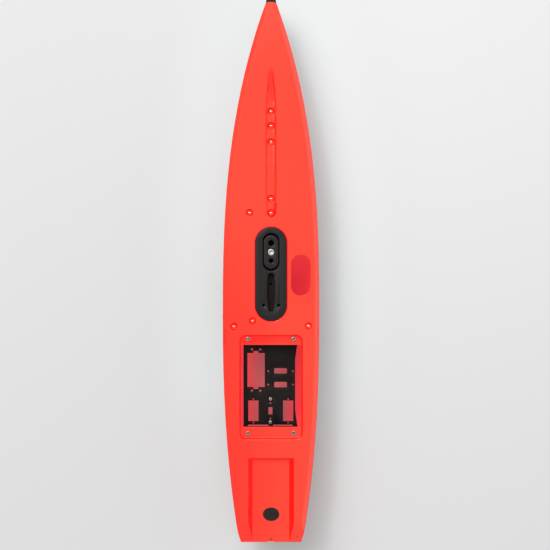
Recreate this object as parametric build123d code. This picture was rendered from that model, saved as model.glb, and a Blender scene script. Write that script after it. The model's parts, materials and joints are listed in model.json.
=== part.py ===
from build123d import *
import os

# Bare hull assembly of a one-design model racing yacht, ready for its servos and rig.
# Millimetres. +Y runs to the bow, +X to starboard, +Z up. The origin is under the middle of
# the hull, on the flat of the keel that it stands on.

# --- hull lines ---------------------------------------------------------------------------
LENGTH = 650.0               # over all, with the bow bumper
TRANSOM_Y = -LENGTH / 2
BUMPER_LENGTH = 10.0
TONGUE = (2.0, 8.0, 46.0, 62.0)   # half width, length into the stem, low and high
BOW_Y = LENGTH / 2 - BUMPER_LENGTH
WIDEST_Y = -58.0
HALF_BEAM = 57.2
BOW_HALF = 6.3
TRANSOM_HALF = 37.5          # before the quarters are rounded off
QUARTER_ROUND = 1.7          # what the rounding takes off the half width at the transom
QUARTER_LENGTH = 28.0
DECK_Z = 74.0
RIM_WIDTH = 5.5              # sloped band along the gunwale
RIM_DROP = 4.0
RIM_Z = DECK_Z - RIM_DROP    # where the deck moulding meets the hull moulding
KEEL_DEEP = -0.8             # the lines dip this far below the flat that is cut across them
ROCKER_START = 60.0          # the keel is level within this distance of the middle
BOW_LIFT = 27.0
STERN_LIFT = 34.0
SECTIONS = 25                # evenly spaced, so that the skin through them is fair
WALL = 1.6                   # skin of both mouldings
KEEL_WALL = 2.4

# --- deck features ------------------------------------------------------------------------
SLOPE_Y = -301.0             # the side decks fall away from here to the transom
COCKPIT_DEPTH = 8.0
COCKPIT_FRONT_Y = -223.9
COCKPIT_HALF = 27.2
COCKPIT_FLOOR_HALF = 21.7
GROOVE_AFT_Y = 59.7
GROOVE_FRONT_Y = 236.5
GROOVE_HALF = 6.9
GROOVE_DEPTH = 3.2
GROOVE_FADE = ((197.0, 1.0), (217.0, 0.66), (235.5, 0.12))   # y and share of the full section
HATCH_Y = (-202.2, -78.2)
HATCH_HALF = 37.7
HATCH_CORNER = 7.5
LEDGE_DEPTH = 3.0
HATCH_OPENING_Y = (-187.4, -90.4)
HATCH_OPENING_HALF = 35.9
HAND_HOLE = (23.2, 48.6)
HAND_HOLE_AT = (35.2, -7.8)
DRAIN_AT = (30.6, -318.0)
DRAIN_RADIUS = 1.5
BACKSTAY_Y = -321.8
BACKSTAY_RADIUS = 1.3
NOTCH_WIDTH = 10.3
NOTCH_DEPTH = 0.9
LIP_ROUND = 1.4              # soft edges of the hatch recess and the cockpit
LIP_CLEAR = 0.02             # the rounds end this far above the deck, so that they meet it cleanly
POD_LIP_ROUND = 0.8
EYE_RADIUS = 4.4
EYE_DEPTH = 3.3
EYE_FOOT_ROUND = 2.6
EYE_WIRE_RADIUS = 0.75
EYE_LOOP_RADIUS = 2.5        # of the wire's centre line
EYE_LEG = 1.0                # how far each leg goes down below the loop's half circle
EYE_BELOW_SURFACE = 0.1
EYES = {                     # x, y, angle of the loop from athwartships
    "tack_eye_1": (0, 186.6, 0),
    "tack_eye_2": (0, 169.3, 0),
    "tack_eye_3": (0, 150.0, 90),
    "jib_eye_1": (0, 83.0, 0),
    "jib_eye_2": (0, 66.1, 0),
    "jib_sheet_eye": (-25.5, 66.1, 0),
    "main_sheet_eye": (-22.0, -61.7, 0),
    "shroud_eye_port": (-44.1, -68.3, 0),
    "shroud_eye_starboard": (44.3, -67.8, -35),
}

# --- keel pod, mast step and fin case -----------------------------------------------------
POD_SIZE = (38.0, 111.7)
POD_Y = -6.6
POD_GAP = 0.2
POD_BELOW_DECK = 0.3
POD_PLATE = 2.4
GASKET = 0.8
POD_SEAT = 2.5               # width of the ledge that the pod's flange sits on
POCKET_SIZE = (19.9, 44.9)
POCKET_Y = 19.6
POCKET_DEPTH = 12.0
STEP_SIZE = (17.7, 40.0)
STEP_HEIGHT = 11.4
STEP_TRAVEL = 2.0            # each way along its pocket
MAST_HOLE = (30.1, 3.5)      # y, radius
SPARE_HOLE = (9.3, 2.75)
BOLT_Y = 19.3
BOLT_RADIUS = 1.5
BOLT_HEAD = (4.15, 2.6)      # radius, height
BOLT_SINK = 2.0
NUT_SIZE = (8.0, 8.0, 3.0)
FIN_NOSE_Y = -4.6
FIN_TAIL_Y = -51.4
FIN_NOSE_HALF = 4.1
FIN_NOSE_DEPTH = 3.1         # from the nose back to its shoulders
FIN_HALF = 5.3
FIN_TAIL_HALF = 2.95
FIN_WIDEST_Y = -21.0
FIN_RECESS = 9.0
FIN_WEB = 3.0
FIN_WALL = 1.5
FIN_OUTER = 0.3              # the trunk's outside, beyond the outline of the fin's socket
FIN_SOCKET = -0.5            # the socket that shows on deck
POCKET_WALL = 1.2
FIN_BOLT_AT = (-17.9, 1.5)   # y, radius
POD_HOLES = (8.9, -43.3, 1.75)   # x to either side, y, radius
POD_HOLE_DEPTH = 8.0
POD_BOSS_WALL = 1.2
POD_TOP = DECK_Z - POD_BELOW_DECK
POD_BOTTOM = POD_TOP - POCKET_DEPTH - WALL
PLATE_LOW = POD_TOP - POD_PLATE

# --- servo tray ---------------------------------------------------------------------------
TRAY_TOP = DECK_Z - 20.0
TRAY_FLOOR = 2.0
TRAY_LEFT = -33.0
TRAY_RIGHT = 31.3
TRAY_WAIST = 2.5             # how far the starboard edge is cut in between the corner posts
TRAY_Y = (-187.0, -91.0)
TRAY_FLANGE = 2.5
POST_THICK = 2.5
POSTS = ((-33.0, -27.5), (-3.0, 2.5), (25.5, 31.3))
SCREW_X = (-27.2, 26.7)
SCREW_Y = (-194.7, -83.3)
SCREW_RADIUS = 1.3
SCREW_HEAD = (2.65, 1.7)
INSERT = (2.1, 5.0)          # brass insert: radius, length
SERVO = (-18.0, -121.6, 20.8, 40.8)       # x, y, width, length of the standard servo's cut-out
SERVO_SCREWS = (10.0, 49.5, 1.3)          # spacing across, spacing along, hole radius
MICRO_SERVOS = ((-21.2, -170.5), (20.45, -170.5))
MICRO_CUTOUT = (12.3, 24.8)
MICRO_SPACING = 28.2
SMALL_HOLE = 1.0             # radius of the micro servos' screw holes
TIE_HOLE = 1.05              # radius of the switch's and the battery bay's holes
SWITCH = (-0.8, -170.6, 4.8, 9.0)
SWITCH_SPACING = 18.7
STRAPS = ((-122.65, 6.5), (-139.15, 6.7))  # y, length of the two battery strap slots
STRAP_X = (3.7, 19.0)
BAY = ((-6.0, 26.0), (-148.4, -112.5))    # battery bay, sunk a little into the tray
BAY_DEPTH = 0.6
BAY_HOLES = ((-3.5, 26.0), (-139.0, -122.9))
LIP = (1.6, 3.0)             # thickness and height of the port edge
RIB = (5.4, 6.6)
RIB_FORE_Y = -155.0
RIB_HEIGHT = 1.6
FLANGE_LENGTH = 12.0
BOSS_WALL = 1.6
SWITCH_PLATE = (9.0, 35.0, 1.6)
PLATE_SCREW = (0.95, (2.05, 1.5))         # shank radius, head radius and height
PLATE_SCREW_Y = (-156.2, -184.1)

# --- steering -----------------------------------------------------------------------------
RUDDER_Y = -291.9
TUBE_RADIUS = 3.0
TUBE_BORE = 2.5
TUBE_Z = (26.5, 56.0)
BUSH_LENGTH = 6.0
RUDDER_STOCK_RADIUS = 1.5
STOCK_GAP = 0.05
GLAND_TOP = 38.0
GLAND_WALL = 2.0
BUNG_SIZE = (19.4, 15.8)
BUNG_FLANGE = 1.3
BUNG_HOLE = (13.0, 9.6)
BUNG_GAP = 0.35
BUNG_DEPTH = 4.0
BUNG_DIMPLE = (2.0, 1.0)     # radius of the ball that cuts it, depth
BUNG_RING = (0.72, 0.60, 0.35)            # shares of the size that the ring lies between, depth

LEDGE_Z = DECK_Z - LEDGE_DEPTH
COCKPIT_Z = DECK_Z - COCKPIT_DEPTH
REACH = 400.0                # longer than the hull, for the cutting blocks


def half_breadth(y):
    """Half width of the hull at station y."""
    if y > WIDEST_Y:
        run = (y - WIDEST_Y) / (BOW_Y - WIDEST_Y)
        return BOW_HALF + (HALF_BEAM - BOW_HALF) * (1 - run**2.67)
    run = (WIDEST_Y - y) / (WIDEST_Y - TRANSOM_Y)
    quarter = max(0.0, (TRANSOM_Y + QUARTER_LENGTH - y) / QUARTER_LENGTH)
    return HALF_BEAM - (HALF_BEAM - TRANSOM_HALF) * run**2.3 - QUARTER_ROUND * quarter**3


def keel_height(y):
    """Height of the hull's lowest line at station y."""
    if y > ROCKER_START:
        return KEEL_DEEP + BOW_LIFT * ((y - ROCKER_START) / (BOW_Y - ROCKER_START)) ** 2.1
    if y < -ROCKER_START:
        return KEEL_DEEP + STERN_LIFT * ((-ROCKER_START - y) / (-ROCKER_START - TRANSOM_Y)) ** 1.9
    return KEEL_DEEP


def section(y, wall, keel_wall):
    """Round-bottomed cross-section of the hull at y, drawn in by the wall thickness."""
    side = half_breadth(y) - wall
    rim = min(RIM_WIDTH, 0.45 * half_breadth(y))
    deck = side - rim + wall / 2
    top = DECK_Z - wall
    keel = keel_height(y) + keel_wall
    depth = RIM_Z - keel

    def bottom(hand):
        return Bezier(
            (hand * side, y, RIM_Z),
            (hand * side * 0.98, y, RIM_Z - 0.66 * depth),
            (hand * side * 0.64, y, keel),
            (0, y, keel),
        )

    edges = [
        Line((-deck, y, top), (deck, y, top)),
        Line((deck, y, top), (side, y, RIM_Z)),
        bottom(1),
        bottom(-1),
        Line((-side, y, RIM_Z), (-deck, y, top)),
    ]
    return Wire(edges)


def hull_body(wall, keel_wall, aft, fore):
    """Solid through evenly spaced sections between aft and fore."""
    spacing = (fore - aft) / (SECTIONS - 1)
    return Solid.make_loft([section(aft + i * spacing, wall, keel_wall) for i in range(SECTIONS)])


def side_prism(points):
    """Block as wide as the hull whose outline in the Y-Z plane goes through the points."""
    outline = Plane.YZ * make_face(Polyline(*points, close=True))
    return extrude(outline, REACH, both=True)


def above(drop):
    """Everything above the deck line lowered by drop, sloping down over the quarters."""
    slope = COCKPIT_DEPTH / (SLOPE_Y - TRANSOM_Y)
    aft_y = TRANSOM_Y - 20
    return side_prism([
        (aft_y, DECK_Z - drop - slope * (SLOPE_Y - aft_y)),
        (SLOPE_Y, DECK_Z - drop),
        (REACH, DECK_Z - drop),
        (REACH, REACH),
        (aft_y, REACH),
    ])


def upright(sketch, low, high):
    """Sketch stood up as a prism between two heights."""
    return extrude(Pos(0, 0, low) * sketch, high - low)


def drill(x, y, radius, low, high):
    """Round cutter or peg along Z."""
    return upright(Pos(x, y) * Circle(radius), low, high)


def stadium(size, x, y, margin=0.0):
    """Round-ended outline that is longest along Y, grown by margin."""
    return Pos(x, y) * SlotOverall(size[1] + 2 * margin, size[0] + 2 * margin, rotation=90)


def block(x_range, y_range, z_range):
    """Box between limits."""
    centre = [(low + high) / 2 for low, high in (x_range, y_range, z_range)]
    return Pos(*centre) * Box(*[high - low for low, high in (x_range, y_range, z_range)])


# --- mouldings ----------------------------------------------------------------------------
def hollow():
    """The space inside the hull and deck skins."""
    space = hull_body(WALL, KEEL_WALL, TRANSOM_Y + WALL, BOW_Y - 3)
    return space - above(WALL)


def fin_outline(margin):
    """Foil-shaped outline of the fin's head, grown by margin."""
    shoulder = (FIN_NOSE_HALF, FIN_NOSE_Y - FIN_NOSE_DEPTH)
    port_shoulder = (-FIN_NOSE_HALF, shoulder[1])
    nose = ThreePointArc(port_shoulder, (0, FIN_NOSE_Y), shoulder)
    side = ThreePointArc(shoulder, (FIN_HALF, FIN_WIDEST_Y), (FIN_TAIL_HALF, FIN_TAIL_Y))
    port_side = mirror(side, about=Plane.YZ)
    outline = make_face([nose, side, Line(side @ 1, port_side @ 1), port_side])
    return offset(outline, margin) if margin else outline


def hull_shell(outer, inner):
    """Lower moulding: the skin below the rim, with the fin slot and the rudder gland."""
    shell = outer - inner - above(RIM_DROP)
    gland = drill(0, RUDDER_Y, TUBE_RADIUS + GLAND_WALL, keel_height(RUDDER_Y) + 1, GLAND_TOP)
    shell += gland & outer
    shell -= block((-REACH, REACH), (-REACH, REACH), (-REACH, 0))
    shell -= upright(fin_outline(FIN_OUTER + 0.3), -5, 10)
    shell -= drill(0, RUDDER_Y, TUBE_RADIUS + 0.1, 0, GLAND_TOP)
    shell -= bumper_tongue(0.1)
    shell -= transom_notch()
    return shell


def transom_notch():
    """Shallow hollow in the middle of the transom, for the backstay."""
    radius = (NOTCH_WIDTH**2 / 4 + NOTCH_DEPTH**2) / (2 * NOTCH_DEPTH)
    return drill(0, TRANSOM_Y + NOTCH_DEPTH - radius, radius, COCKPIT_Z - 14, COCKPIT_Z + 4)


def groove():
    """Soft-sided channel along the foredeck, round aft and fading out forward."""
    lip = DECK_Z + 0.3

    def wall(scale):
        half = GROOVE_HALF * scale
        floor = DECK_Z - GROOVE_DEPTH * scale
        return Bezier((1.12 * half, lip), (0.80 * half, lip), (0.72 * half, floor), (0.36 * half, floor))

    def across(scale):
        side = wall(scale)
        other = mirror(side, about=Plane.YZ)
        return make_face([side, Line(side @ 1, other @ 1), other, Line(other @ 0, side @ 0)])

    round_y = GROOVE_AFT_Y + GROOVE_HALF
    fade_y = GROOVE_FADE[0][0]
    straight = extrude(Plane.XZ.offset(-round_y) * across(1), round_y - fade_y)
    side = wall(1)
    foot = (0, DECK_Z - GROOVE_DEPTH)
    half_face = make_face([side, Line(side @ 1, foot), Line(foot, (0, lip)), Line((0, lip), side @ 0)])
    end = Pos(0, round_y, 0) * revolve(Plane.XZ * half_face, Axis.Z)
    fade = loft([Plane.XZ.offset(-y) * across(scale) for y, scale in GROOVE_FADE])
    return straight + end + fade


def eye_surface(x, y):
    """Height of the surface round an eye: the deck, or the floor of the groove."""
    return DECK_Z - GROOVE_DEPTH if x == 0 and y > GROOVE_AFT_Y else DECK_Z


def eye_loop(x, y, angle, gap=0.0):
    """Arched wire of a deck eye, with its legs set in the moulding."""
    wire = EYE_WIRE_RADIUS + gap
    arch = Rot(90, 0, 0) * Torus(EYE_LOOP_RADIUS, wire)
    arch -= block((-9, 9), (-9, 9), (-9, 0))
    for side in (-1, 1):
        arch += drill(side * EYE_LOOP_RADIUS, 0, wire, -EYE_LEG - gap, 0)
    centre = eye_surface(x, y) - EYE_BELOW_SURFACE - EYE_WIRE_RADIUS - EYE_LOOP_RADIUS
    return Pos(x, y, centre) * Rot(0, 0, angle) * arch


def eye_cup(x, y):
    """Round dimple that a deck eye stands in, with a soft foot."""
    cup = drill(x, y, EYE_RADIUS, eye_surface(x, y) - EYE_DEPTH, DECK_Z + 1)
    return fillet(cup.edges().group_by(Axis.Z)[0], EYE_FOOT_ROUND)


def tapered(outline_low, outline_high, low, high):
    """Straight-sided solid between two outlines of the same kind."""
    return loft([Pos(0, 0, low) * outline_low, Pos(0, 0, high) * outline_high], ruled=True)


def soft_mouth(walls, flange, radius):
    """Cutter with its walls flared into the deck by a round of that radius."""
    low = DECK_Z + LIP_CLEAR
    whole = walls + upright(flange, low, low + 2)
    mouth = whole.edges().filter_by(lambda edge: abs(edge.center().Z - low) < 0.005)
    inner = [edge for edge in mouth if edge_is_inside(edge, flange)]
    return fillet(inner, radius)


def edge_is_inside(edge, flange):
    """Whether the edge lies well inside the flange's outline."""
    box = flange.bounding_box()
    place = edge.center()
    return box.min.X + 1 < place.X < box.max.X - 1 and box.min.Y + 1 < place.Y < box.max.Y - 1


def hatch_recess():
    """Shallow recess round the hatch, with leaning walls and soft edges."""
    centre_y = sum(HATCH_Y) / 2
    size = (2 * HATCH_HALF, HATCH_Y[1] - HATCH_Y[0])

    def outline(margin):
        return Pos(0, centre_y) * RectangleRounded(
            size[0] + 2 * margin, size[1] + 2 * margin, HATCH_CORNER + margin)

    walls = tapered(outline(-1.9), outline(0.1), LEDGE_Z, DECK_Z + 0.5)
    walls = fillet(walls.edges().group_by(Axis.Z)[0], 0.8)
    return soft_mouth(walls, outline(6), LIP_ROUND)


def cockpit(margin):
    """Open-backed cockpit with leaning sides, grown by margin for the moulding under it."""
    aft = TRANSOM_Y - 30 if margin == 0 else TRANSOM_Y
    low = COCKPIT_Z - margin
    high = DECK_Z + 0.2 if margin == 0 else DECK_Z - WALL / 2

    def outline(half, front):
        return Pos(0, (front + margin + aft) / 2) * Rectangle(2 * (half + margin), front + margin - aft)

    return tapered(
        outline(COCKPIT_FLOOR_HALF, COCKPIT_FRONT_Y - 3.0), outline(COCKPIT_HALF, COCKPIT_FRONT_Y), low, high)


def cockpit_cutter():
    """The cockpit's space, with soft edges and a round along each side of its floor."""
    space = fillet(cockpit(0).edges().filter_by(Axis.Y).group_by(Axis.Z)[0], 1.5)
    front = COCKPIT_FRONT_Y + 8
    aft = TRANSOM_Y - 40
    flange = Pos(0, (front + aft) / 2) * Rectangle(2 * COCKPIT_HALF + 16, front - aft)
    return soft_mouth(space, flange, LIP_ROUND)


def deck(outer, inner):
    """Upper moulding, with every recess, dimple and opening."""
    inside = (outer & above(RIM_DROP)) - above(0)
    shell = inside - inner
    under = [
        upright(stadium((2 * GROOVE_HALF, GROOVE_FRONT_Y - GROOVE_AFT_Y), 0,
                        (GROOVE_FRONT_Y + GROOVE_AFT_Y) / 2, WALL),
                DECK_Z - GROOVE_DEPTH - WALL, DECK_Z - WALL / 2),
        upright(stadium(POD_SIZE, 0, POD_Y, WALL),
                PLATE_LOW - GASKET - WALL, DECK_Z - WALL / 2),
        upright(Pos(0, sum(HATCH_Y) / 2) * RectangleRounded(
            2 * (HATCH_HALF + WALL), HATCH_Y[1] - HATCH_Y[0] + 2 * WALL, HATCH_CORNER + WALL),
                LEDGE_Z - WALL, DECK_Z - WALL / 2),
        cockpit(WALL),
    ]
    for x, y, _ in EYES.values():
        under.append(drill(x, y, EYE_RADIUS + WALL, eye_surface(x, y) - EYE_DEPTH - WALL, DECK_Z - WALL / 2))
    for pan in under:
        shell += pan
    shell -= above(0)

    pod_floor = PLATE_LOW - GASKET
    cutters = [
        groove(),
        soft_mouth(upright(stadium(POD_SIZE, 0, POD_Y), pod_floor, DECK_Z + 1),
                   stadium(POD_SIZE, 0, POD_Y, 5), POD_LIP_ROUND),
        upright(stadium(POD_SIZE, 0, POD_Y, -POD_SEAT), pod_floor - 5, DECK_Z),
        upright(stadium(HAND_HOLE, *HAND_HOLE_AT), DECK_Z - 5, DECK_Z + 1),
        hatch_recess(),
        block((-HATCH_OPENING_HALF, HATCH_OPENING_HALF), HATCH_OPENING_Y, (LEDGE_Z - 5, DECK_Z)),
        cockpit_cutter(),
        bung_plug(0.0, COCKPIT_Z - 5, COCKPIT_Z + 1),
        drill(*DRAIN_AT, DRAIN_RADIUS, DECK_Z - 20, DECK_Z),
        drill(0, BACKSTAY_Y, BACKSTAY_RADIUS, COCKPIT_Z - 5, DECK_Z),
        transom_notch(),
    ]
    cutters += [drill(x, y, SCREW_RADIUS + 0.2, LEDGE_Z - 5, DECK_Z) for x in SCREW_X for y in SCREW_Y]
    for x, y, angle in EYES.values():
        cutters += [eye_cup(x, y), eye_loop(x, y, angle, 0.02)]
    for cutter in cutters:
        shell -= cutter
    return shell


def bumper_tongue(gap=0.0):
    """Tongue that keys the bumper into the stem."""
    half, length, low, high = TONGUE
    return block((-half - gap, half + gap), (BOW_Y - length - gap, BOW_Y + 1), (low - gap, high + gap))


def bow_bumper():
    """Soft rubber nose, half-oval in plan, down the whole plumb stem."""
    low = keel_height(BOW_Y) + 4
    nose = Pos(0, BOW_Y) * Ellipse(BOW_HALF - 0.4, BUMPER_LENGTH)
    body = upright(nose, low, DECK_Z - 0.2)
    body = fillet(body.edges(), 2.2)
    return body - block((-REACH, REACH), (-REACH, BOW_Y), (0, REACH)) + bumper_tongue()


# --- keel pod -----------------------------------------------------------------------------
def keel_pod():
    """Black deck plate with the mast step's pocket under it and the mouth of the fin's socket."""
    pod = upright(stadium(POD_SIZE, 0, POD_Y, -POD_GAP), PLATE_LOW, POD_TOP)
    pod = chamfer(pod.edges().group_by(Axis.Z)[-1], 0.4)
    pod += upright(stadium(POCKET_SIZE, 0, POCKET_Y, POCKET_WALL), POD_BOTTOM, PLATE_LOW)
    hole_x, hole_y, hole_radius = POD_HOLES
    hole_low = POD_TOP - POD_HOLE_DEPTH
    for hand in (-1, 1):
        pod += drill(hand * hole_x, hole_y, hole_radius + POD_BOSS_WALL, hole_low - POD_BOSS_WALL, PLATE_LOW)
        pod -= drill(hand * hole_x, hole_y, hole_radius, hole_low, POD_TOP)
    pod -= upright(stadium(POCKET_SIZE, 0, POCKET_Y), POD_TOP - POCKET_DEPTH, POD_TOP)
    slot_length = 2 * (BOLT_RADIUS + STEP_TRAVEL) + 1.4
    pod -= upright(Pos(0, BOLT_Y) * SlotOverall(slot_length, 2 * BOLT_RADIUS + 0.8, rotation=90),
                   POD_BOTTOM, POD_TOP)
    return pod - upright(fin_outline(FIN_SOCKET), POD_BOTTOM, POD_TOP)


def pod_gasket():
    """Flat seal under the pod's flange."""
    ring = upright(stadium(POD_SIZE, 0, POD_Y, -POD_GAP), PLATE_LOW - GASKET, PLATE_LOW)
    return ring - upright(stadium(POD_SIZE, 0, POD_Y, -POD_SEAT), PLATE_LOW - GASKET, PLATE_LOW)


def fin_case():
    """Foil-shaped trunk from the pod down to the slot in the bottom of the hull.

    A web with the fin bolt's hole closes it near the top.
    """
    web_top = POD_TOP - FIN_RECESS
    web_low = web_top - FIN_WEB
    trunk = upright(fin_outline(FIN_OUTER), 0, PLATE_LOW)
    trunk -= upright(fin_outline(FIN_SOCKET), web_top, PLATE_LOW)
    trunk -= upright(fin_outline(FIN_OUTER - FIN_WALL), 0, web_low)
    return trunk - drill(0, *FIN_BOLT_AT, web_low, web_top)


def mast_step():
    """Sliding block that takes the heel of the mast."""
    low = POD_TOP - POCKET_DEPTH
    high = low + STEP_HEIGHT
    step = upright(stadium(STEP_SIZE, 0, POCKET_Y), low, high)
    step = chamfer(step.edges().group_by(Axis.Z)[-1], 0.5)
    for y, radius in (MAST_HOLE, SPARE_HOLE, (BOLT_Y, BOLT_RADIUS + 0.1)):
        step -= drill(0, y, radius, low, high)
    return step - drill(0, BOLT_Y, BOLT_HEAD[0] + 0.25, high - BOLT_SINK, high)


def screw(x, y, under_head, radius, head, length, drive):
    """Pan-head screw pointing down, with a hexagon or cross recess in its head."""
    cap = drill(x, y, head[0], under_head, under_head + head[1])
    cap = fillet(cap.edges().group_by(Axis.Z)[-1], 0.45 * head[1])
    top = under_head + head[1]
    depth = 0.6 * head[1]
    if drive == "hexagon":
        socket = upright(Pos(x, y) * RegularPolygon(0.48 * head[0], 6), top - depth, top)
    else:
        arm = Rectangle(1.2 * head[0], 0.3 * head[0])
        socket = upright(Pos(x, y) * Rot(0, 0, 30) * (arm + Rot(0, 0, 90) * arm), top - depth, top)
    shank = drill(x, y, radius, under_head - length, under_head)
    tip = chamfer(shank.edges().group_by(Axis.Z)[0], 0.3 * radius)
    return cap - socket + tip


def step_bolt():
    """Bolt that clamps the mast step."""
    under_head = POD_TOP - POCKET_DEPTH + STEP_HEIGHT - BOLT_SINK
    length = under_head - (POD_BOTTOM - NUT_SIZE[2] - 0.8)
    return screw(0, BOLT_Y, under_head, BOLT_RADIUS, BOLT_HEAD, length, "hexagon")


def step_nut():
    """Square brass nut under the pod that slides with the step."""
    nut = Pos(0, BOLT_Y, POD_BOTTOM - NUT_SIZE[2] / 2) * Box(*NUT_SIZE)
    nut = chamfer(nut.edges().filter_by(Axis.Z), 0.8)
    return nut - drill(0, BOLT_Y, BOLT_RADIUS + 0.05, 0, POD_BOTTOM)


# --- servo tray ---------------------------------------------------------------------------
def servo_tray():
    """Tray hung under the hatch ledges by three posts at each end."""
    low = TRAY_TOP - TRAY_FLOOR
    waist = TRAY_RIGHT - TRAY_WAIST
    aft, fore = TRAY_Y
    outline = Polyline(
        (TRAY_LEFT, aft), (TRAY_RIGHT, aft), (waist, aft + 18), (waist, fore - 18),
        (TRAY_RIGHT, fore), (TRAY_LEFT, fore), close=True)
    tray = upright(make_face(outline), low, TRAY_TOP)
    tray += block((TRAY_LEFT, TRAY_LEFT + LIP[0]), TRAY_Y, (low, TRAY_TOP + LIP[1]))
    tray += block(RIB, (aft, RIB_FORE_Y), (low, TRAY_TOP + RIB_HEIGHT))

    under_ledge = LEDGE_Z - WALL
    for end, outward in ((aft, -1), (fore, 1)):
        far = end + outward * FLANGE_LENGTH
        flange_y = (min(end, far), max(end, far))
        tray += block((TRAY_LEFT, TRAY_RIGHT), flange_y, (under_ledge - TRAY_FLANGE, under_ledge))
        near = end + outward * POST_THICK
        post_y = (min(end, near), max(end, near))
        for post in POSTS:
            tray += block(post, post_y, (low, under_ledge))
    for x in SCREW_X:
        for y in SCREW_Y:
            boss_low = under_ledge - INSERT[1] - BOSS_WALL
            tray += drill(x, y, INSERT[0] + BOSS_WALL, boss_low, under_ledge)
            tray -= drill(x, y, INSERT[0] + 0.02, under_ledge - INSERT[1], under_ledge)
            tray -= drill(x, y, SCREW_RADIUS + 0.2, boss_low, under_ledge)

    tray -= block(*BAY, (TRAY_TOP - BAY_DEPTH, TRAY_TOP + 5))
    for x in BAY_HOLES[0]:
        for y in BAY_HOLES[1]:
            tray -= drill(x, y, TIE_HOLE, low, TRAY_TOP)
    for y, length in STRAPS:
        slot = Pos(sum(STRAP_X) / 2, y) * RectangleRounded(STRAP_X[1] - STRAP_X[0], length, 1.5)
        tray -= upright(slot, low, TRAY_TOP)
    return tray - servo_openings(low, TRAY_TOP + 5)


def servo_openings(low, high):
    """Cut-outs and screw holes for the winch servo, two micro servos and the switch."""
    x, y, width, length = SERVO
    cut = upright(Pos(x, y) * Rectangle(width, length), low, high)
    cut += upright(Pos(x - 0.2, y) * Rectangle(6, length + 5), low, high)
    for side in (-1, 1):
        for end in (-1, 1):
            cut += drill(x + side * SERVO_SCREWS[0] / 2, y + end * SERVO_SCREWS[1] / 2,
                         SERVO_SCREWS[2], low, high)
    for x, y in MICRO_SERVOS:
        cut += upright(Pos(x, y) * Rectangle(*MICRO_CUTOUT), low, high)
        for end in (-1, 1):
            cut += drill(x, y + end * MICRO_SPACING / 2, SMALL_HOLE, low, high)
    return cut + switch_opening(low, high)


def switch_opening(low, high):
    """Cut-out, two screw holes and the two plate screws' holes of the slide switch."""
    x, y, width, length = SWITCH
    cut = upright(Pos(x, y) * Rectangle(width, length), low, high)
    for end in (-1, 1):
        cut += drill(x, y + end * SWITCH_SPACING / 2, TIE_HOLE, low, high)
    for screw_y in PLATE_SCREW_Y:
        cut += drill(x, screw_y, PLATE_SCREW[0] + 0.05, low, high)
    return cut


def switch_plate():
    """Backing plate of the slide switch, screwed up against the tray."""
    width, length, thick = SWITCH_PLATE
    high = TRAY_TOP - TRAY_FLOOR
    low = high - thick
    outline = Pos(SWITCH[0], sum(PLATE_SCREW_Y) / 2) * RectangleRounded(width, length, 2)
    return upright(outline, low, high) - switch_opening(low, high)


def tray_screws():
    """Four screws that hang the tray from the hatch ledges."""
    length = WALL + INSERT[1]
    return [screw(x, y, LEDGE_Z, SCREW_RADIUS, SCREW_HEAD, length, "cross") for x in SCREW_X for y in SCREW_Y]


def tray_inserts():
    """Four threaded brass inserts in the tray's bosses."""
    high = LEDGE_Z - WALL
    low = high - INSERT[1]
    return [
        drill(x, y, INSERT[0], low, high) - drill(x, y, SCREW_RADIUS + 0.05, low, high)
        for x in SCREW_X for y in SCREW_Y
    ]


def switch_plate_screws():
    """Two small screws through the tray into the switch plate."""
    length = TRAY_FLOOR + SWITCH_PLATE[2]
    return [screw(SWITCH[0], y, TRAY_TOP, *PLATE_SCREW, length, "cross") for y in PLATE_SCREW_Y]


# --- steering gear ------------------------------------------------------------------------
def rudder_tube():
    """Brass tube for the rudder stock."""
    return drill(0, RUDDER_Y, TUBE_RADIUS, *TUBE_Z) - drill(0, RUDDER_Y, TUBE_BORE, *TUBE_Z)


def rudder_bush(low):
    """Plastic bearing in one end of the rudder tube."""
    high = low + BUSH_LENGTH
    bush = drill(0, RUDDER_Y, TUBE_BORE - 0.02, low, high)
    return bush - drill(0, RUDDER_Y, RUDDER_STOCK_RADIUS + STOCK_GAP, low, high)


def bung_plug(gap, low, high):
    """Oval plug, or with no gap the hole that it closes."""
    return upright(Pos(0, RUDDER_Y) * Ellipse(BUNG_HOLE[0] / 2 - gap, BUNG_HOLE[1] / 2 - gap), low, high)


def stern_bung():
    """Rubber bung over the head of the rudder stock."""
    flange = upright(Pos(0, RUDDER_Y) * Ellipse(BUNG_SIZE[0] / 2, BUNG_SIZE[1] / 2),
                     COCKPIT_Z, COCKPIT_Z + BUNG_FLANGE)
    flange = fillet(flange.edges().group_by(Axis.Z)[-1], 0.9)
    bung = flange + bung_plug(BUNG_GAP, COCKPIT_Z - BUNG_DEPTH, COCKPIT_Z)
    outer, inner, ring_depth = BUNG_RING
    ring = Pos(0, RUDDER_Y) * (Ellipse(outer * BUNG_SIZE[0] / 2, outer * BUNG_SIZE[1] / 2)
                               - Ellipse(inner * BUNG_SIZE[0] / 2, inner * BUNG_SIZE[1] / 2))
    bung -= upright(ring, COCKPIT_Z + BUNG_FLANGE - ring_depth, COCKPIT_Z + BUNG_FLANGE)
    radius, depth = BUNG_DIMPLE
    return bung - Pos(0, RUDDER_Y, COCKPIT_Z + BUNG_FLANGE + radius - depth) * Sphere(radius)


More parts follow.
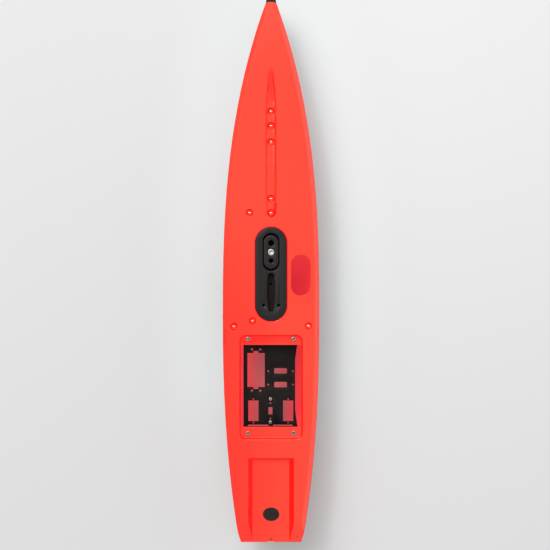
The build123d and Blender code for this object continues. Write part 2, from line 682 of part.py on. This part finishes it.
def build():
    """Every sub-part by name."""
    outer = hull_body(0, 0, TRANSOM_Y, BOW_Y)
    inner = hollow()
    parts = {
        "hull_shell": hull_shell(outer, inner),
        "deck": deck(outer, inner),
        "bow_bumper": bow_bumper(),
        "keel_pod": keel_pod(),
        "pod_gasket": pod_gasket(),
        "fin_case": fin_case(),
        "mast_step": mast_step(),
        "step_bolt": step_bolt(),
        "step_nut": step_nut(),
        "servo_tray": servo_tray(),
        "tray_screws": tray_screws(),
        "tray_inserts": tray_inserts(),
        "switch_plate": switch_plate(),
        "switch_plate_screws": switch_plate_screws(),
        "rudder_tube": rudder_tube(),
        "rudder_bush_lower": rudder_bush(TUBE_Z[0]),
        "rudder_bush_upper": rudder_bush(TUBE_Z[1] - BUSH_LENGTH),
        "stern_bung": stern_bung(),
    }
    for name, place in EYES.items():
        parts[name] = eye_loop(*place)
    return parts


os.makedirs("parts", exist_ok=True)
for name, shape in build().items():
    solids = shape if isinstance(shape, list) else [shape]
    part = Compound(children=[solid for item in solids for solid in item.solids()])
    part.label = name
    export_step(part, f"parts/{name}.step")
    print(name, len(part.solids()), "solids", round(part.volume), "mm3", part.is_valid)
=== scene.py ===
# %% [markdown]
# # Bare hull of a model racing yacht
# The hull comes from CAD as a fixed frame: every piece is already at its real size and place, in
# metres, with the bow along +Y. This lesson gives it the looks of the real thing: glossy red
# moulded plastic, a satin black keel pod and servo tray, soft rubber, and small bright metal.

# %% Load the frame
import json
import math

import bpy
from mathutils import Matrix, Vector

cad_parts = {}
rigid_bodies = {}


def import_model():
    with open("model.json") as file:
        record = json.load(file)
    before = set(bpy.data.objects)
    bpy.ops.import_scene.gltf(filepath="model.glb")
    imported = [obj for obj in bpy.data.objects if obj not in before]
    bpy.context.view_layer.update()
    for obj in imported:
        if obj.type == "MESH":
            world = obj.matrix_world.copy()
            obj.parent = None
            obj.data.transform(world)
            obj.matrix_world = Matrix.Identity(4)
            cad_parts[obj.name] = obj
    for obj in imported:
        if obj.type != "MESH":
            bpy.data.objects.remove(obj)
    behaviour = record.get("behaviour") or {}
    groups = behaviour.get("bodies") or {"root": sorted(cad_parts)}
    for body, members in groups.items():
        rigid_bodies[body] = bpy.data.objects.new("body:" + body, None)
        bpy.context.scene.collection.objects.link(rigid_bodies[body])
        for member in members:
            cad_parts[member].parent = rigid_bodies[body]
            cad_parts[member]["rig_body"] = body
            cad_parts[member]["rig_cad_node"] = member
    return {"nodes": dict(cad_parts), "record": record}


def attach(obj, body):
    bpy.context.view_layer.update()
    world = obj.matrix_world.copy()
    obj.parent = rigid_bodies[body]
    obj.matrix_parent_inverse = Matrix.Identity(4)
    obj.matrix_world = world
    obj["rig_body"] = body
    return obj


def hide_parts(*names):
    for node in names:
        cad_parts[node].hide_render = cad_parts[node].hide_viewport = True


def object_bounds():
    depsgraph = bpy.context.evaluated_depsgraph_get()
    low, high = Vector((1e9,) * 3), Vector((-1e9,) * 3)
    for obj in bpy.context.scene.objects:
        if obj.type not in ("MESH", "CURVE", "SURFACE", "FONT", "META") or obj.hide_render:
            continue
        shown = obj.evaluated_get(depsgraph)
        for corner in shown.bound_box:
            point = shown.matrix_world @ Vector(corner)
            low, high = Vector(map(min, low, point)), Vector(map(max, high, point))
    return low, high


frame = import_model()
cad_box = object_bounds()
NODES = frame["nodes"]
BODY_OF = {node: body for body, nodes in frame["record"]["behaviour"]["bodies"].items() for node in nodes}

# %% [markdown]
# ## Shader maths as plain expressions
# A material is a graph of nodes, and most of the graph is arithmetic: a mask times a noise plus a
# number. Writing that as Python keeps it readable. One small class wraps an output socket and
# overloads the operators, and another holds a material and adds any node by its type.

# %% A socket that can be used in an expression
class Value:
    """An output socket of a material's node. Arithmetic on it adds Math nodes."""

    def __init__(self, paint, socket):
        self.paint = paint
        self.socket = socket

    def math(self, operation, first, second=0.0):
        return self.paint.node("ShaderNodeMath", {"operation": operation}, {0: first, 1: second})

    def __add__(self, other):
        return self.math("ADD", self, other)

    def __sub__(self, other):
        return self.math("SUBTRACT", self, other)

    def __mul__(self, other):
        return self.math("MULTIPLY", self, other)

    def __radd__(self, other):
        return self.math("ADD", other, self)

    def __rsub__(self, other):
        return self.math("SUBTRACT", other, self)

    def __rmul__(self, other):
        return self.math("MULTIPLY", other, self)

    def __abs__(self):
        return self.math("ABSOLUTE", self)

    def larger(self, other):
        return self.math("MAXIMUM", self, other)

    def step(self, low, high):
        """0 below low, 1 above high, and smooth between."""
        return self.paint.node(
            "ShaderNodeMapRange", {"interpolation_type": "SMOOTHSTEP"},
            {"Value": self, "From Min": low, "From Max": high})

    def band(self, start, full, fading, end):
        """1 from full to fading, and 0 before start and past end."""
        return self.step(start, full) * (1 - self.step(fading, end))


# %% A material being painted
class Paint:
    """A material, with one method that adds any node."""

    def __init__(self, name):
        self.material = bpy.data.materials.new(name)
        self.material.use_nodes = True
        self.nodes = self.material.node_tree.nodes
        self.links = self.material.node_tree.links
        self.shader = self.nodes["Principled BSDF"]

    def node(self, kind, settings=None, sockets=None, output=0):
        made = self.nodes.new(kind)
        for key, value in (settings or {}).items():
            setattr(made, key, value)
        for key, value in (sockets or {}).items():
            self.feed(made.inputs[key], value)
        return Value(self, made.outputs[output])

    def feed(self, socket, value):
        if isinstance(value, Value):
            self.links.new(value.socket, socket)
        else:
            socket.default_value = value

    def place(self):
        """The point's place on the object, in metres."""
        return self.node("ShaderNodeTexCoord", output="Object")

    def facing(self):
        """The surface's normal on the object."""
        return self.node("ShaderNodeTexCoord", output="Normal")

    def axis(self, vector, name):
        return self.node("ShaderNodeSeparateXYZ", sockets={0: vector}, output=name)

    def vector_math(self, operation, first, second=(0, 0, 0), output="Vector"):
        return self.node("ShaderNodeVectorMath", {"operation": operation}, {0: first, 1: second}, output)

    def noise(self, size, detail=3.0, stretch=(1, 1, 1), rough=0.5):
        """Noise from 0 to 1 with lumps about size metres across."""
        where = self.node("ShaderNodeMapping", sockets={"Vector": self.place(), "Scale": stretch})
        return self.node("ShaderNodeTexNoise", sockets={
            "Vector": where, "Scale": 1 / size, "Detail": detail, "Roughness": rough})

    def mix(self, factor, first, second):
        """Colour from first to second as factor goes from 0 to 1."""
        return self.node("ShaderNodeMix", {"data_type": "RGBA"}, {0: factor, 6: first, 7: second}, output=2)

    def bump(self, height, distance, under=None):
        sockets = {"Height": height, "Distance": distance, "Strength": 1.0}
        if under is not None:
            sockets["Normal"] = under
        return self.node("ShaderNodeBump", sockets=sockets)

    def finish(self, **sockets):
        for key, value in sockets.items():
            self.feed(self.shader.inputs[key.replace("_", " ")], value)
        print("material", self.material.name, "with", len(self.nodes), "nodes")
        return self.material


def rgb(red, green, blue):
    """Opaque linear colour."""
    return (red, green, blue, 1.0)


# %% [markdown]
# ## Red moulded plastic
# The real skins are thin ABS, polished outside and dull inside. The inside is painted light: paler
# along the bottom than at the sides. One material serves both faces of a skin, because a CAD solid has
# no seam to split it at: the sign of the normal along the line to the hull's middle tells inside from
# outside. The colour is then built up by masks, each made from where the point is and how it faces.

# %% Where a point of a skin is, and how it faces
class SkinPoint:
    """Sockets that the masks of the red plastic are made from."""

    def __init__(self, paint, middle_height):
        place = paint.place()
        facing = paint.facing()
        self.x = paint.axis(place, "X")
        self.y = paint.axis(place, "Y")
        self.z = paint.axis(place, "Z")
        self.aside = abs(self.x)
        self.turned = paint.axis(facing, "X")
        self.upward = paint.axis(facing, "Z")
        from_middle = paint.vector_math("SUBTRACT", place, (0, 0, middle_height))
        across = paint.vector_math("MULTIPLY", from_middle, (1, 0, 1))
        self.facing_out = paint.vector_math("DOT_PRODUCT", across, facing, output="Value")


# %% [markdown]
# ## Walls of the recesses
# The steep walls of the dimples, groove, hatch and cockpit are painted a purer red than the open deck,
# a painted reflection of the red they see about them. The gunwale's outer side is steep too, and faces
# outwards, so it is left out, except among the eyes, where the dimples also have walls that face
# outwards. The groove's port wall faces the bright side of the room and stays as pale as the deck. The
# thin lip of the deck round the keel pod is painted the same purer red, as painted shade.

# %% Masks of the recesses
STEEP = (0.75, 0.995)
FACING_OUTWARDS = (0.02, 0.04)
EYES_HALF_WIDTH = (0.0482, 0.0490)
EYES_HALF_LENGTH = (0.076, 0.080)
GROOVE_AFT = (0.050, 0.060)
GROOVE_FLOOR = (0.0704, 0.0711)
TURNED_TO_STARBOARD = (0.05, 0.3)


# Mask of the painted reflection: steep recess walls get a purer red.
def recess_walls(spot):
    among_eyes = (1 - spot.aside.step(*EYES_HALF_WIDTH)) * (1 - abs(spot.y).step(*EYES_HALF_LENGTH))
    outer_side = spot.facing_out.step(*FACING_OUTWARDS) * (1 - among_eyes)
    in_groove = spot.y.step(*GROOVE_AFT) * spot.z.step(*GROOVE_FLOOR)
    groove_port_wall = spot.turned.step(*TURNED_TO_STARBOARD) * in_groove
    return (1 - spot.upward.step(*STEEP)) * (1 - outer_side) * (1 - groove_port_wall)


# %% Mask of the thin rim round the keel pod
POD_MIDDLE_Y = -0.0066
POD_STRAIGHT_HALF = 0.0368
POD_HALF_WIDTH = 0.019
POD_LIP = (POD_HALF_WIDTH + 0.0004, POD_HALF_WIDTH + 0.0016)


# Mask of a painted shade line: the deck's lip round the pod gets the purer red.
def pod_lip(paint, spot):
    past_straight = (abs(spot.y - POD_MIDDLE_Y) - POD_STRAIGHT_HALF).larger(0.0)
    offset = paint.node("ShaderNodeCombineXYZ", sockets={0: spot.x, 1: past_straight})
    return 1 - paint.vector_math("LENGTH", offset, output="Value").step(*POD_LIP)


# %% [markdown]
# ## Where the deck has painted shade or sheen
# The deck isn't one even red, and its changes are painted light. It is painted a deeper red, as
# shade, at the head of the groove, in front of the hatch's opening and toward the port quarter, and the
# gunwale has a paler painted sheen along its rounded edge, more so to starboard.

# %% Masks of the painted shade and the painted sheen
GROOVE_HEAD = (0.190, 0.212, 0.230, 0.240)
GROOVE_HALF = (0.0036, 0.0052)
HATCH_FRONT = (-0.096, -0.080, -0.074, -0.070)
HATCH_DEPTH = (0.0712, 0.0735)
PORT_SIDE = (-0.035, 0.02)
AFT_HALF = (-0.10, 0.08)
RIM_ROUND = (0.45, 0.75, 0.94, 0.99)
RIM_SIDE = (0.003, 0.008)
MIDDLE_LINE = (-0.005, 0.005)
SHEEN_TO_PORT = 0.15
SHEEN_MORE_TO_STARBOARD = 0.37


# Painted shade: a deeper red at the groove's head, before the hatch's opening and toward the port quarter.
def painted_deck_shade(spot):
    groove_head = spot.y.band(*GROOVE_HEAD) * (1 - spot.aside.step(*GROOVE_HALF))
    hatch_front = spot.y.band(*HATCH_FRONT) * (1 - spot.z.step(*HATCH_DEPTH))
    port_quarter = (1 - spot.x.step(*PORT_SIDE)) * (1 - spot.y.step(*AFT_HALF))
    return 0.8 * hatch_front + 0.5 * port_quarter + 0.6 * groove_head


# Painted sheen: a paler red along the gunwale's rounded edge, stronger to starboard.
def painted_rim_sheen(spot):
    starboard = spot.x.step(*MIDDLE_LINE)
    rim = (spot.x * spot.turned).step(*RIM_SIDE) * spot.upward.band(*RIM_ROUND)
    return rim * (SHEEN_TO_PORT + SHEEN_MORE_TO_STARBOARD * starboard)


# %% [markdown]
# ## Putting the red together
# Light soaks through a skin so thin. Following it is slow and noisy, so a weak emission stands for it,
# on the inner faces of the hull and on the walls of the deck's recesses. A Bevel node rounds the razor
# edges of the CAD mesh, and the bump is only the faint unevenness of a moulding. The inside's colour is
# painted light too: paler pink along the bottom, and crimson at the sides and under the hand hole.

# %% Red plastic for the two skins
RED_OUT = rgb(0.93, 0.043, 0.017)
RED_DEEP = rgb(0.90, 0.032, 0.013)
# Purer red for painted shade and for the red that steep walls reflect.
RED_PAINTED_SHADE = rgb(0.95, 0.007, 0.003)
# Paler red of the painted sheen on the gunwale's edge.
RED_RIM_SHEEN = rgb(0.93, 0.080, 0.050)
# The inside's colours are painted light: pale pink along the bottom, crimson at the sides.
RED_IN_BOTTOM = rgb(0.52, 0.080, 0.085)
RED_IN_SIDE = rgb(0.90, 0.030, 0.045)
NO_GLOW = rgb(0, 0, 0)
GLOW_STEEP = rgb(0.30, 0.001, 0.001)
GLOW_BOTTOM = rgb(0.20, 0.045, 0.050)
GLOW_SIDE = rgb(0.44, 0.018, 0.026)
INSIDE_TURN = (-0.012, -0.004)
PALE_BOTTOM_EDGE = (0.012, 0.040)
CRIMSON_UNDER_HAND_HOLE = (-0.075, -0.055, 0.025, 0.040)
EDGE_ROUND = 0.0006
CLOUD_SIZE = 0.06
CLOUD_HEIGHT = 0.0001
SCUFF_SIZE = 0.0022
PEEL_SIZE = 0.0016
PEEL_HEIGHT = 0.000005


def red_plastic(name, middle_height, glow_bottom, glow_side, is_deck):
    """Red ABS. Only the deck has recesses and a painted sheen on its rim, so is_deck is 1 or 0."""
    paint = Paint(name)
    spot = SkinPoint(paint, middle_height)
    inside = 1 - spot.facing_out.step(*INSIDE_TURN)
    # Painted light inside the hull: 1 at the sides and under the hand hole, 0 along the bottom.
    crimson_side_light = spot.aside.step(*PALE_BOTTOM_EDGE).larger(spot.y.band(*CRIMSON_UNDER_HAND_HOLE))
    rim = is_deck * painted_rim_sheen(spot)
    # Painted reflection and shade: the recess walls and the pod's lip turn a purer red.
    pure = is_deck * recess_walls(spot).larger(pod_lip(paint, spot)) * (1 - rim)
    deck_shade = is_deck * painted_deck_shade(spot)
    clouds = paint.noise(CLOUD_SIZE, detail=2.0, stretch=(1, 0.4, 1))
    scuffs = paint.noise(SCUFF_SIZE, detail=6.0, stretch=(1, 0.25, 1), rough=0.7)
    colour = paint.mix(clouds.step(0.35, 0.7) * 0.5, RED_OUT, RED_DEEP)
    colour = paint.mix(deck_shade, colour, RED_PAINTED_SHADE)
    colour = paint.mix(rim, colour, RED_RIM_SHEEN)
    colour = paint.mix(pure, colour, RED_PAINTED_SHADE)
    colour = paint.mix(inside, colour, paint.mix(crimson_side_light, RED_IN_BOTTOM, RED_IN_SIDE))
    inner_glow = paint.mix(crimson_side_light, glow_bottom, glow_side)
    rounded = paint.node("ShaderNodeBevel", {"samples": 6}, {"Radius": EDGE_ROUND})
    waves = paint.bump(clouds, CLOUD_HEIGHT, rounded)
    return paint.finish(
        Base_Color=colour,
        Roughness=0.13 + 0.04 * clouds + 0.08 * scuffs.step(0.62, 0.78) + 0.25 * inside,
        Normal=paint.bump(paint.noise(PEEL_SIZE, detail=1.0), PEEL_HEIGHT, waves),
        Emission_Color=paint.mix(inside, paint.mix(pure, NO_GLOW, GLOW_STEEP), inner_glow),
        Emission_Strength=1.0,
        IOR=1.5,
    )


HULL_MIDDLE = 0.062
DECK_MIDDLE = 0.020
hull_red = red_plastic("hull_red", HULL_MIDDLE, GLOW_BOTTOM, GLOW_SIDE, 0.0)
deck_red = red_plastic("deck_red", DECK_MIDDLE, NO_GLOW, NO_GLOW, 1.0)

# %% [markdown]
# ## Black plastics and rubber
# The pod is glass-filled nylon with a satin, finely pitted face that is rubbed smoother where hands
# and tools touch it. The tray is plainer and duller. Rubber is duller still, with pale dust in its
# pores. They differ in how large the pits are and in how much the roughness wanders. The pod's holes
# and its pocket are painted darker than its face, as painted shade.

# %% Black nylon, tray plastic and rubber
# Near black of the painted shade in the pod's holes and pocket.
SUNK_SHADE_BLACK = rgb(0.0015, 0.0010, 0.0010)
POD_SUNK = (0.0640, 0.0722)
NEVER_SUNK = (-1.0, -0.9)


def black_plastic(
        name, dark, pale, pit_size, roughness, pit_depth=0.00002, gloss=0.3, sunk_below=NEVER_SUNK):
    """Pitted plastic, with painted shade fading in between the two heights of sunk_below."""
    paint = Paint(name)
    pits = paint.noise(pit_size, detail=4.0, rough=0.65)
    rubbed = paint.noise(0.018, detail=4.0).step(0.45, 0.75)
    dust = pits.step(0.6, 0.8)
    # Painted shade: below the heights of sunk_below the colour fades to near black.
    sunk_shade = 1 - paint.axis(paint.place(), "Z").step(*sunk_below)
    face_colour = paint.mix(0.7 * dust + 0.3 * rubbed, dark, pale)
    colour = paint.mix(sunk_shade, face_colour, SUNK_SHADE_BLACK)
    return paint.finish(
        Base_Color=colour,
        Roughness=roughness - 0.12 * rubbed + 0.08 * dust + 0.3 * sunk_shade,
        Normal=paint.bump(pits, pit_depth),
        Specular_IOR_Level=gloss,
        IOR=1.45,
    )


pod_black = black_plastic(
    "pod_black", rgb(0.010, 0.007, 0.0075), rgb(0.020, 0.016, 0.017), 0.0005, 0.42, sunk_below=POD_SUNK)
# The tray's black has a faint red tint, a painted reflection of the red hull about it.
tray_black = black_plastic(
    "tray_black", rgb(0.006, 0.003, 0.003), rgb(0.012, 0.007, 0.007), 0.0008, 0.5, gloss=0.2)
socket_black = black_plastic(
    "socket_black", rgb(0.010, 0.003, 0.002), rgb(0.016, 0.006, 0.004), 0.0006, 0.6, gloss=0.2)
rubber_black = black_plastic(
    "rubber_black", rgb(0.014, 0.011, 0.011), rgb(0.034, 0.029, 0.029), 0.0004, 0.72, pit_depth=0.00003)

# %% [markdown]
# ## Metals and the white bearings
# Small turned parts show fine rings from the tool. Rings need a centre, which differs from screw to
# screw, so fine noise drawn out along one axis stands for the marks, and the roughness carries it.
# The cross in each small screw's head gets painted shade on its floor: whatever faces up below a given
# height.
# The deck's eyes are polished wire, the clamp bolt is plain, and the tray's screws have dulled.

# %% Stainless steel, brass and acetal
# Colour of the painted shade on the floor of each screw's cross.
CROSS_SHADE = rgb(0.05, 0.035, 0.03)
NO_CROSS = -1.0
LEDGE_SCREW_CROSS = 0.0718
PLATE_SCREW_CROSS = 0.0547
CROSS_FADE = 0.0002
STEEL_LIGHT = rgb(0.58, 0.54, 0.49)
STEEL_DARK = rgb(0.22, 0.20, 0.18)


def turned_metal(name, light, dark, roughness, cross_floor=NO_CROSS):
    """Metal with tool marks and stains, and painted shade on what faces up below cross_floor."""
    paint = Paint(name)
    faces_up = paint.axis(paint.facing(), "Z").step(0.9, 0.98)
    # Painted shade in the cross: what faces up below cross_floor is darkened.
    cross_shade = faces_up * (1 - paint.axis(paint.place(), "Z").step(cross_floor, cross_floor + CROSS_FADE))
    marks = paint.noise(0.0005, detail=2.0, stretch=(1, 1, 6))
    stains = paint.noise(0.003, detail=4.0).step(0.45, 0.75)
    return paint.finish(
        Base_Color=paint.mix(cross_shade, paint.mix(0.6 * stains + 0.2 * marks, light, dark), CROSS_SHADE),
        Roughness=roughness + 0.15 * marks + 0.1 * stains + 0.4 * cross_shade,
        Metallic=1.0,
        Normal=paint.bump(marks, 0.000008),
    )


def acetal(name):
    paint = Paint(name)
    milky = paint.noise(0.002, detail=3.0)
    return paint.finish(
        Base_Color=paint.mix(milky, rgb(0.78, 0.77, 0.72), rgb(0.86, 0.85, 0.82)),
        Roughness=0.3 + 0.2 * milky,
        Normal=paint.bump(milky, 0.00001),
    )


steel = turned_metal("steel", STEEL_LIGHT, STEEL_DARK, 0.2)
dull_steel = turned_metal(
    "dull_steel", rgb(0.46, 0.38, 0.34), rgb(0.10, 0.08, 0.07), 0.25, LEDGE_SCREW_CROSS)
plate_steel = turned_metal("plate_steel", STEEL_LIGHT, STEEL_DARK, 0.2, PLATE_SCREW_CROSS)
bright_steel = turned_metal("bright_steel", rgb(0.88, 0.85, 0.81), rgb(0.45, 0.42, 0.40), 0.16)
brass = turned_metal("brass", rgb(0.76, 0.56, 0.25), rgb(0.48, 0.32, 0.12), 0.24)
bearing_white = acetal("bearing_white")

# %% [markdown]
# ## Softened copies of the CAD pieces
# A CAD mesh is loose triangles with razor edges, which is why it looks like CAD. A moulded piece has
# small rounds that catch the light. So the pod, the sliding step, the tray, the bumper, the bung, the
# bolt and the screws are each shown by a copy: its doubles are merged, its flat faces joined up
# again, its sharp edges rounded by a Bevel modifier, and it is shaded smooth except at real creases.
# Dull rubber has no glint along an edge, so its edges stay as they are. The CAD node itself is left
# alone and hidden. The red skins need no copy, because the Bevel node in their material rounds them.

# %% Copy, merge, round and shade
SAME_POINT = 0.000004
SAME_FACE = math.radians(0.2)
SHARP_EDGE = math.radians(30)
SHADED_SMOOTH = math.radians(35)
ROUND_SEGMENTS = 2


def select_only(obj):
    bpy.ops.object.select_all(action="DESELECT")
    obj.select_set(True)
    bpy.context.view_layer.objects.active = obj


def softened(node, name, material, width):
    """Copy of a CAD node that is shown in its place, with edges rounded over width metres."""
    select_only(NODES[node])
    bpy.ops.object.duplicate()
    piece = bpy.context.object
    piece.name = name
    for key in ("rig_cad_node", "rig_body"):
        del piece[key]
    piece.parent = None
    bpy.ops.object.mode_set(mode="EDIT")
    bpy.ops.mesh.select_all(action="SELECT")
    bpy.ops.mesh.remove_doubles(threshold=SAME_POINT)
    bpy.ops.mesh.dissolve_limited(angle_limit=SAME_FACE)
    bpy.ops.object.mode_set(mode="OBJECT")
    if width:
        bevel = piece.modifiers.new("round", "BEVEL")
        bevel.width = width
        bevel.segments = ROUND_SEGMENTS
        bevel.limit_method = "ANGLE"
        bevel.angle_limit = SHARP_EDGE
        bpy.ops.object.modifier_apply(modifier="round")
    bpy.ops.object.shade_smooth_by_angle(angle=SHADED_SMOOTH)
    piece.data.materials.clear()
    piece.data.materials.append(material)
    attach(piece, BODY_OF[node])
    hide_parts(node)
    print(name, "has", len(piece.data.polygons), "faces")


# %% The black mouldings, the rubber and the screws
softened("keel_pod", "pod", pod_black, 0.0003)
softened("mast_step", "sliding_step", pod_black, 0.0003)
softened("servo_tray", "tray", tray_black, 0.0002)
softened("bow_bumper", "bumper", rubber_black, 0)
softened("stern_bung", "bung", rubber_black, 0)
softened("step_bolt", "clamp_bolt", steel, 0.0001)
softened("tray_screws", "ledge_screws", dull_steel, 0.0001)
softened("switch_plate_screws", "plate_screws", plate_steel, 0.0001)

# %% [markdown]
# ## The rest of the CAD pieces
# The red skins, the wire eyes and the other small pieces keep their CAD meshes and get a material,
# chosen by the slot that the record gives each piece. The deck differs from the hull in its recesses, and
# the fin's socket from the other black plastic, so those two have a material of their own.

# %% Materials for the pieces that stay
FINISH = {
    "red_abs": hull_red,
    "black_nylon": pod_black,
    "tray_black": tray_black,
    "black_rubber": rubber_black,
    "stainless": bright_steel,
    "brass": brass,
    "white_acetal": bearing_white,
}
SPECIAL = {"deck": deck_red, "fin_case": socket_black}
for part in frame["record"]["subparts"]:
    mesh = NODES[part["node"]].data
    mesh.materials.clear()
    mesh.materials.append(SPECIAL.get(part["node"], FINISH[part["material_slot"]]))

# %% [markdown]
# ## Floor, light and camera
# The hull lies on a sheet of pale paper. The paper has painted light: it is painted slightly brighter
# toward the bow and to starboard, and has a cooler painted patch under the hull, which makes up for the red
# light thrown down.
# Two lamps share one place ahead and to port: a large soft one makes the shadow's wide edge, and a
# small bulb its darker core. The camera looks straight down, from 1.35 m above the deck.

# %% Floor
# Painted light on the paper: brighter toward the bow and to starboard.
PAPER_AFT = rgb(0.589, 0.589, 0.589)
PAPER_AFT_LIT = rgb(0.622, 0.622, 0.622)
PAPER_FORE = rgb(0.596, 0.596, 0.596)
PAPER_FORE_LIT = rgb(0.668, 0.668, 0.668)
# A cooler painted patch under the hull, which makes up for the red light thrown down.
PATCH = rgb(0.680, 0.757, 0.757)
PATCH_HALF_WIDTH = 0.17
PATCH_HALF_LENGTH = 0.48
PATCH_FADE = (0.25, 1.0)
AFT_TO_FORE = (-0.35, 0.35)
PORT_TO_STARBOARD = (-0.30, 0.22)
bpy.ops.mesh.primitive_plane_add(size=8)
floor = bpy.context.object
floor.name = "floor"
floor_paint = Paint("floor_paper")
floor_grain = floor_paint.noise(0.002, detail=4.0)
floor_place = floor_paint.place()
along = floor_paint.axis(floor_place, "Y").step(*AFT_TO_FORE)
across = floor_paint.axis(floor_place, "X").step(*PORT_TO_STARBOARD)
reach = floor_paint.vector_math("MULTIPLY", floor_place, (1 / PATCH_HALF_WIDTH, 1 / PATCH_HALF_LENGTH, 0))
from_hull = floor_paint.vector_math("LENGTH", reach, output="Value")
paper_aft = floor_paint.mix(across, PAPER_AFT, PAPER_AFT_LIT)
paper_fore = floor_paint.mix(across, PAPER_FORE, PAPER_FORE_LIT)
paper = floor_paint.mix(0.95 * along + 0.1 * floor_grain, paper_aft, paper_fore)
floor.data.materials.append(floor_paint.finish(
    Base_Color=floor_paint.mix(from_hull.step(*PATCH_FADE), PATCH, paper),
    Roughness=0.85,
    Normal=floor_paint.bump(floor_grain, 0.00001),
))

# The emission in the lower skin stands for light inside it, so the floor doesn't see that skin. The
# skin still casts its shadow.
NODES["hull_shell"].visible_diffuse = False

# %% Lights
LAMP_PLACE = Vector((-1.15, 1.95, 3.0))


def lamp(name, size, power):
    """A square lamp that points at the hull, size metres across."""
    bpy.ops.object.light_add(type="AREA", location=LAMP_PLACE)
    made = bpy.context.object
    made.name = name
    made.data.size = size
    made.data.energy = power
    made.rotation_euler = LAMP_PLACE.to_track_quat("Z", "Y").to_euler()
    print("lamp", name, "gives", power, "W from", size, "m")


lamp("key", 2.7, 101)
lamp("bulb", 0.45, 15)

# %% World: a bright room to starboard, a dim one to port
ROOM_LIGHT = 0.70
ROOM_SLOPE = 0.32
world = bpy.data.worlds.new("studio")
bpy.context.scene.world = world
world.use_nodes = True
world.cycles.sampling_method = "NONE"
background = world.node_tree.nodes["Background"]
direction = world.node_tree.nodes.new("ShaderNodeTexCoord")
split = world.node_tree.nodes.new("ShaderNodeSeparateXYZ")
slope = world.node_tree.nodes.new("ShaderNodeMapRange")
slope.inputs["From Min"].default_value = -1.0
slope.inputs["To Min"].default_value = ROOM_LIGHT - ROOM_SLOPE
slope.inputs["To Max"].default_value = ROOM_LIGHT + ROOM_SLOPE
world.node_tree.links.new(direction.outputs["Generated"], split.inputs[0])
world.node_tree.links.new(split.outputs["X"], slope.inputs["Value"])
world.node_tree.links.new(slope.outputs["Result"], background.inputs["Strength"])
background.inputs["Color"].default_value = rgb(1, 1, 1)
print("room light from", round(ROOM_LIGHT - ROOM_SLOPE, 2), "to", round(ROOM_LIGHT + ROOM_SLOPE, 2))

# %% Camera
DECK_HEIGHT = cad_box[1][2]
CAMERA_RISE = 1.35
CAMERA_X = 0.0047
CAMERA_Y = -0.0076
VIEW_WIDTH = 0.650
SENSOR_MM = 36
bpy.ops.object.camera_add(location=(CAMERA_X, CAMERA_Y, DECK_HEIGHT + CAMERA_RISE), rotation=(0, 0, 0))
camera = bpy.context.object
camera.data.sensor_width = SENSOR_MM
camera.data.lens = SENSOR_MM * CAMERA_RISE / VIEW_WIDTH
bpy.context.scene.camera = camera
bpy.context.scene.view_settings.view_transform = "Standard"
print("lens", round(camera.data.lens, 1), "mm")
